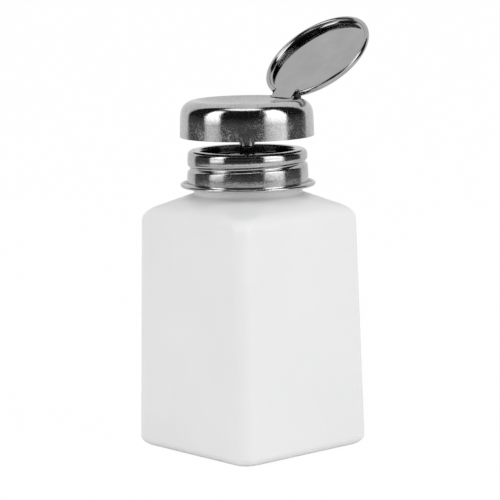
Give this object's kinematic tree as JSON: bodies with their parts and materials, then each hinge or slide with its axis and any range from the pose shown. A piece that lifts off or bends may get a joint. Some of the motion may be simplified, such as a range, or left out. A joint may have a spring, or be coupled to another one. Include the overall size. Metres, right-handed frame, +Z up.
{
  "type": "nail polish remover pump",
  "caption": "Push-down liquid dispenser: square translucent white bottle, screw collar of polished steel, dispensing cup on a pump stem, hinged round lid standing open",
  "frame": {"origin": "centre of the bottle's flat base", "axes": "+Z up along the pump's axis, the lid's hinge lies towards +Y and the lid opens that way, the bottle's side faces look along X and Y"},
  "size_m": [0.0618, 0.0837, 0.1564],
  "materials": {
    "bottle_plastic": "natural white translucent polyethylene, satin",
    "polished_steel": "mirror-polished stainless steel sheet",
    "valve_steel": "bright stainless steel",
    "pump_plastic": "natural moulded polypropylene",
    "tube_plastic": "clear polyethylene tube",
    "gasket_foam": "white closed-cell polyethylene foam",
    "seal_rubber": "black solvent-proof rubber"
  },
  "bodies": {
    "bottle_body": {"bottle": "bottle_plastic"},
    "pump_body": {"neck_gasket": "gasket_foam", "cylinder_washer": "gasket_foam", "guide_bush": "pump_plastic", "stem_seal": "seal_rubber", "pump_cylinder": "pump_plastic", "dip_tube": "tube_plastic", "inlet_cage": "pump_plastic", "return_spring": "valve_steel"},
    "collar_body": {"screw_collar": "polished_steel"},
    "piston_body": {"piston": "pump_plastic"},
    "head_body": {"stem": "polished_steel", "cup_hub": "pump_plastic", "hub_washer": "gasket_foam", "nozzle": "polished_steel", "cup": "polished_steel", "hinge_bracket": "polished_steel", "hinge_pin": "polished_steel"},
    "lid_body": {"lid": "polished_steel"},
    "inlet_ball_body": {"inlet_ball": "valve_steel"},
    "outlet_ball_body": {"outlet_ball": "valve_steel"}
  },
  "joints": [
    {"name": "collar_lift", "type": "slide", "parent": "bottle_body", "child": "pump_body", "axis": [0, 0, 1], "range_m": [0, 0.0034]},
    {"name": "collar_turn", "type": "hinge", "parent": "pump_body", "child": "collar_body", "pos_m": [0, 0, 0.1035], "axis": [0, 0, 1], "range_deg": [0, 290]},
    {"name": "pump_stroke", "type": "slide", "parent": "pump_body", "child": "piston_body", "axis": [0, 0, 1], "range_m": [-0.009, 0], "stiffness_N_per_m": 300, "springref_m": 0.008, "deforming": ["return_spring"]},
    {"name": "head_swivel", "type": "hinge", "parent": "piston_body", "child": "head_body", "pos_m": [0, 0, 0.121], "axis": [0, 0, 1], "continuous": true},
    {"name": "lid_hinge", "type": "hinge", "parent": "head_body", "child": "lid_body", "pos_m": [0, 0.02005, 0.1295], "axis": [1, 0, 0], "range_deg": [0, 141]},
    {"name": "inlet_ball_lift", "type": "slide", "parent": "pump_body", "child": "inlet_ball_body", "axis": [0, 0, 1], "range_m": [0, 0.001]},
    {"name": "outlet_ball_lift", "type": "slide", "parent": "head_body", "child": "outlet_ball_body", "axis": [0, 0, 1], "range_m": [0, 0.001]}
  ],
  "couplings": [
    {"joint": "collar_turn", "follows": "collar_lift", "rad_per_m": 1484.2}
  ]
}
